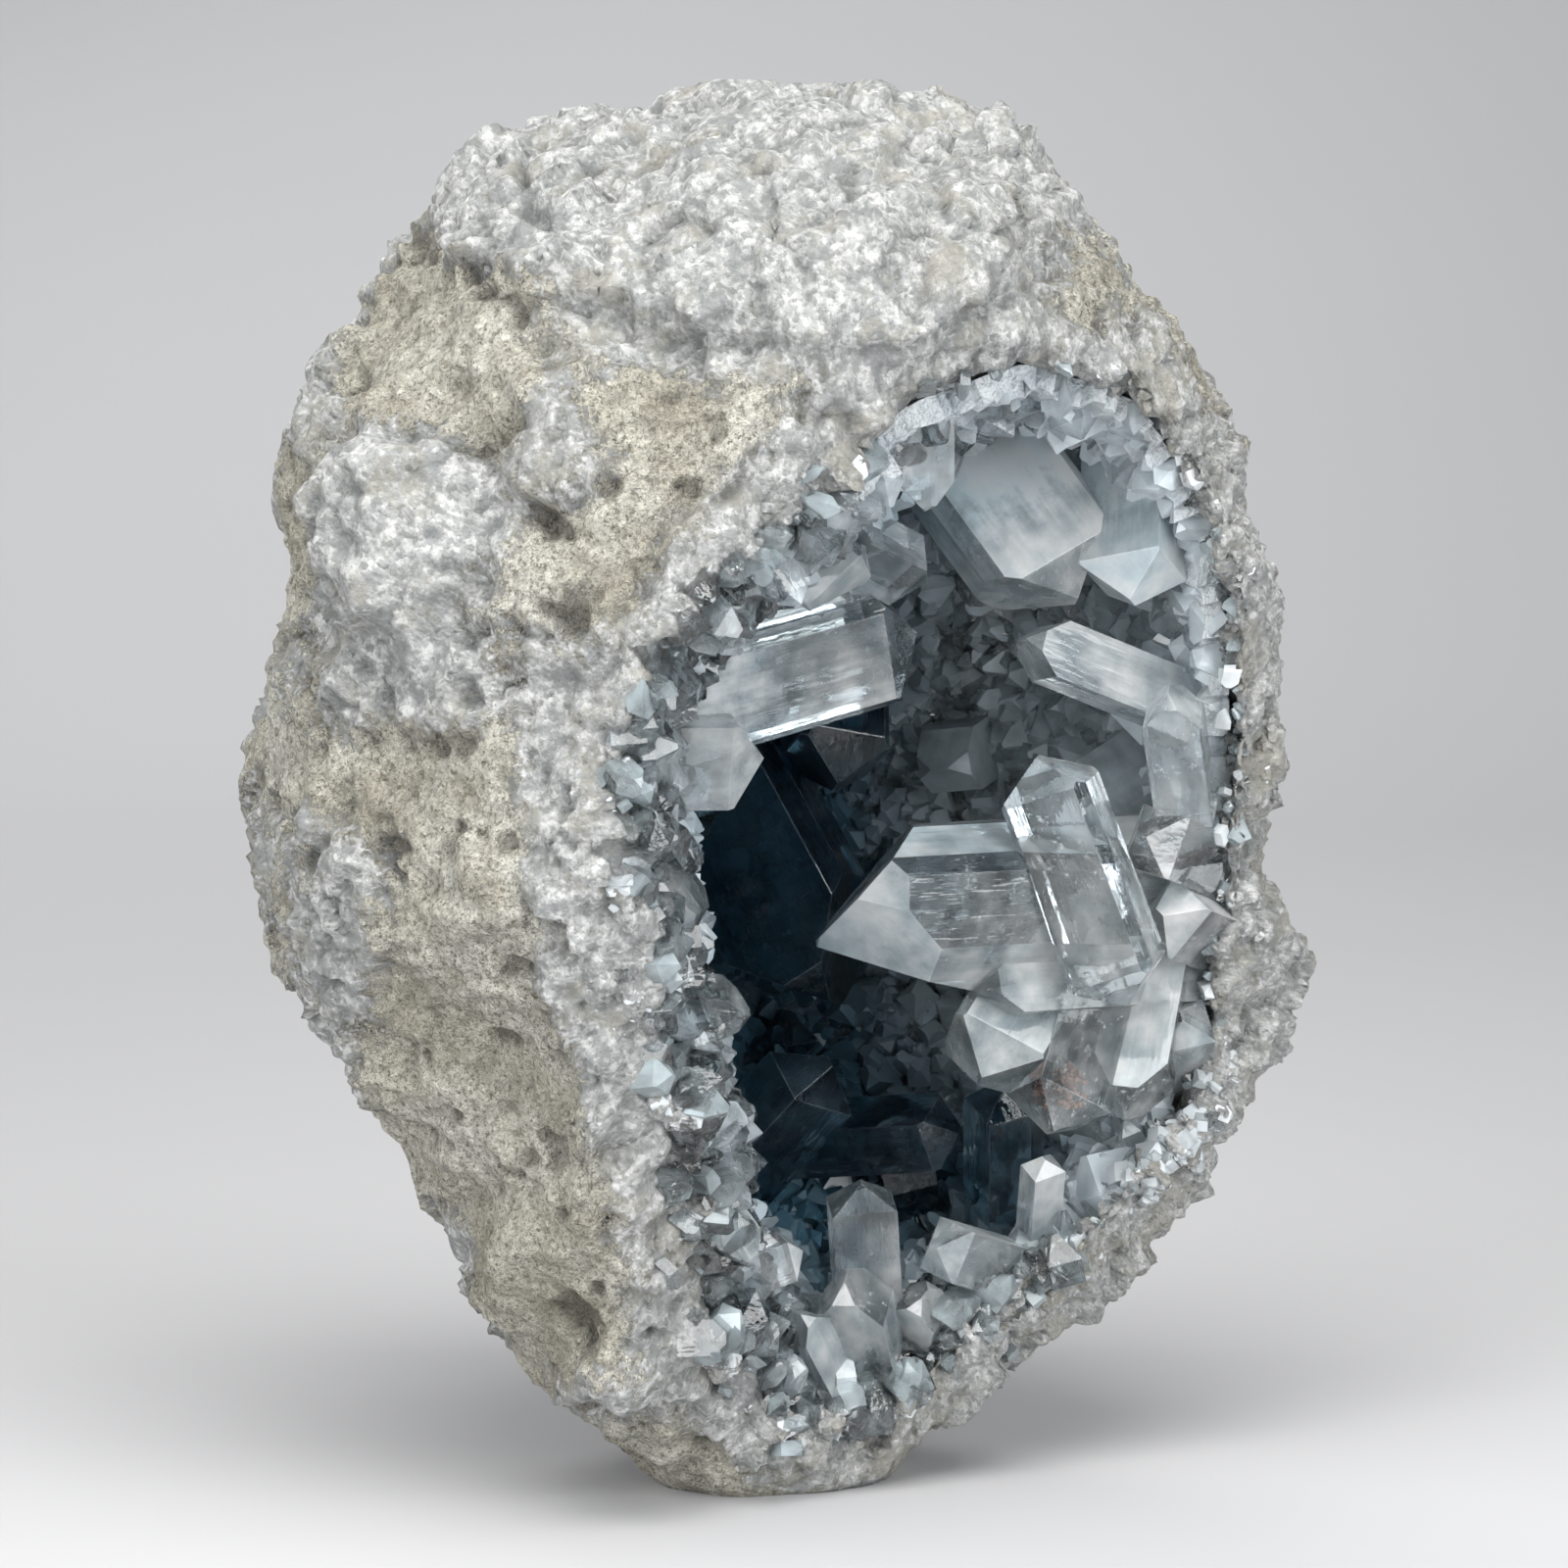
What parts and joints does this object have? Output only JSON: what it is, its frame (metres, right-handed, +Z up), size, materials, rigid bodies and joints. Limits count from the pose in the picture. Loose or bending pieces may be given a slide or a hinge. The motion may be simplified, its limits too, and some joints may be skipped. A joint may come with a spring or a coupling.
{
  "type": "celestite geode",
  "caption": "Egg-shaped stone nodule broken open at the front, its hollow lined with pale blue celestite crystals, standing on a small flat spot.",
  "frame": {"origin": "centre of the small flat spot that the geode stands on", "axes": "+Z up along the egg's long axis; -Y out of the side that shows the hollow; +X towards the side where the rim is broken lowest"},
  "size_m": [0.1115, 0.099, 0.1422],
  "materials": {
    "rock_nodule": "rough sandy beige marl with patches of white granular celestite",
    "crystal_crust": "clear to milky pale grey-blue crystal with bright flat faces"
  },
  "bodies": {
    "root": {"rock_nodule": "rock_nodule", "crystal_crust": "crystal_crust"}
  },
  "joints": []
}
